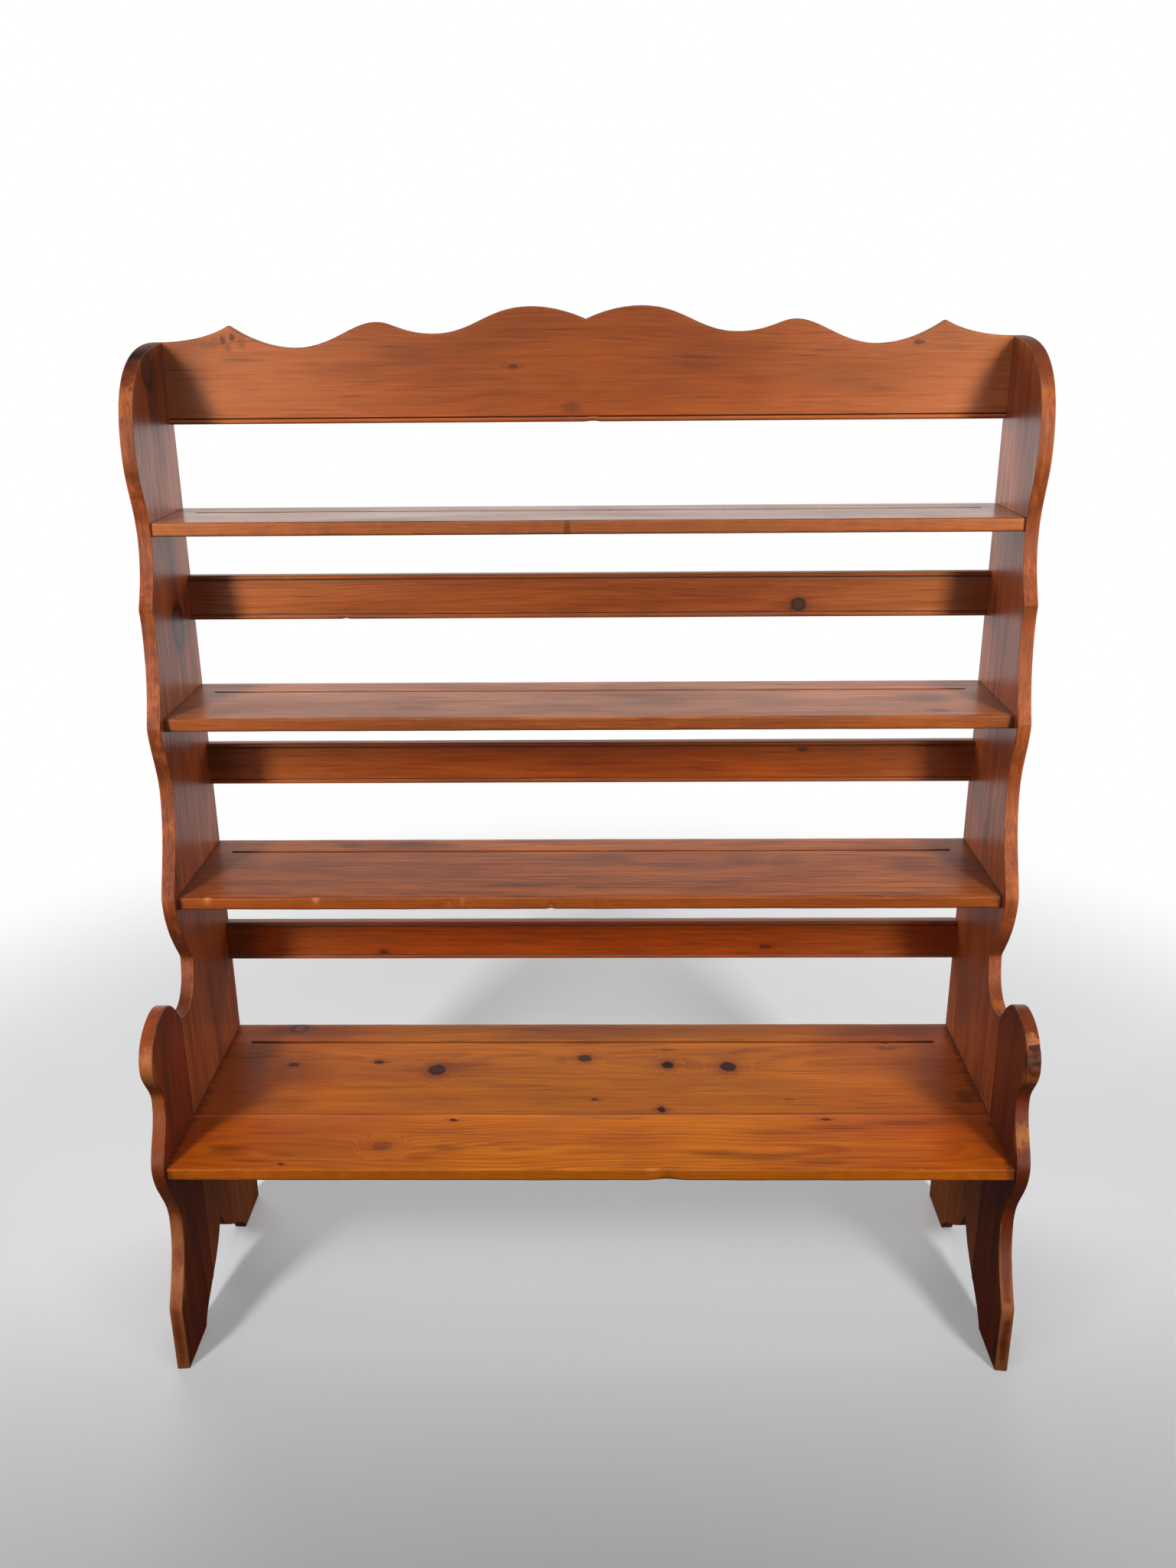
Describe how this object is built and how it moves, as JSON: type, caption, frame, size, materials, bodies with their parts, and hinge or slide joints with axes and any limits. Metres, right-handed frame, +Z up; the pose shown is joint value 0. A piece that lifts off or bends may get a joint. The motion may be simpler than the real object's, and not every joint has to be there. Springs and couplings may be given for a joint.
{
  "type": "plate display shelf",
  "caption": "Free-standing stained pine plate rack: scroll-sawn sides, grooved display shelves, a deep bench shelf, beaded plate rails and a scalloped crest. Stands against a wall.",
  "frame": {"origin": "on the floor under the middle of the bounding box, halfway between the sides and halfway between the rear edges and the toes", "axes": "+X runs along the shelves to the right-hand side as seen from the front, +Y points to the rear (the wall), +Z points up"},
  "size_m": [1.219, 0.408, 1.472],
  "materials": {
    "stained_pine_sides": "dark reddish-brown stain under satin varnish, grain upright",
    "stained_pine_shelves": "reddish-brown stain under satin varnish, grain along the shelf",
    "stained_pine_bench": "amber-brown stain under glossy varnish, knotty",
    "stained_pine_rails": "amber-brown stain under glossy varnish, beads darker in their quirks",
    "nail_steel": "plain bright wire"
  },
  "bodies": {
    "root": {"bench_front_board": "stained_pine_bench", "bench_rear_board": "stained_pine_bench", "crest_rail": "stained_pine_rails", "left_arm_board": "stained_pine_sides", "left_bench_front_board_nail_1": "nail_steel", "left_bench_front_board_nail_2": "nail_steel", "left_bench_rear_board_nail_1": "nail_steel", "left_bench_rear_board_nail_2": "nail_steel", "left_crest_rail_nail_1": "nail_steel", "left_crest_rail_nail_2": "nail_steel", "left_lower_plate_rail_nail_1": "nail_steel", "left_lower_plate_rail_nail_2": "nail_steel", "left_lower_shelf_nail_1": "nail_steel", "left_lower_shelf_nail_2": "nail_steel", "left_middle_plate_rail_nail_1": "nail_steel", "left_middle_plate_rail_nail_2": "nail_steel", "left_middle_shelf_nail_1": "nail_steel", "left_middle_shelf_nail_2": "nail_steel", "left_top_shelf_nail_1": "nail_steel", "left_top_shelf_nail_2": "nail_steel", "left_upper_plate_rail_nail_1": "nail_steel", "left_upper_plate_rail_nail_2": "nail_steel", "left_upright": "stained_pine_sides", "lower_plate_rail": "stained_pine_rails", "lower_shelf": "stained_pine_shelves", "middle_plate_rail": "stained_pine_rails", "middle_shelf": "stained_pine_shelves", "right_arm_board": "stained_pine_sides", "right_bench_front_board_nail_1": "nail_steel", "right_bench_front_board_nail_2": "nail_steel", "right_bench_rear_board_nail_1": "nail_steel", "right_bench_rear_board_nail_2": "nail_steel", "right_crest_rail_nail_1": "nail_steel", "right_crest_rail_nail_2": "nail_steel", "right_lower_plate_rail_nail_1": "nail_steel", "right_lower_plate_rail_nail_2": "nail_steel", "right_lower_shelf_nail_1": "nail_steel", "right_lower_shelf_nail_2": "nail_steel", "right_middle_plate_rail_nail_1": "nail_steel", "right_middle_plate_rail_nail_2": "nail_steel", "right_middle_shelf_nail_1": "nail_steel", "right_middle_shelf_nail_2": "nail_steel", "right_top_shelf_nail_1": "nail_steel", "right_top_shelf_nail_2": "nail_steel", "right_upper_plate_rail_nail_1": "nail_steel", "right_upper_plate_rail_nail_2": "nail_steel", "right_upright": "stained_pine_sides", "top_shelf": "stained_pine_shelves", "upper_plate_rail": "stained_pine_rails"}
  },
  "joints": []
}
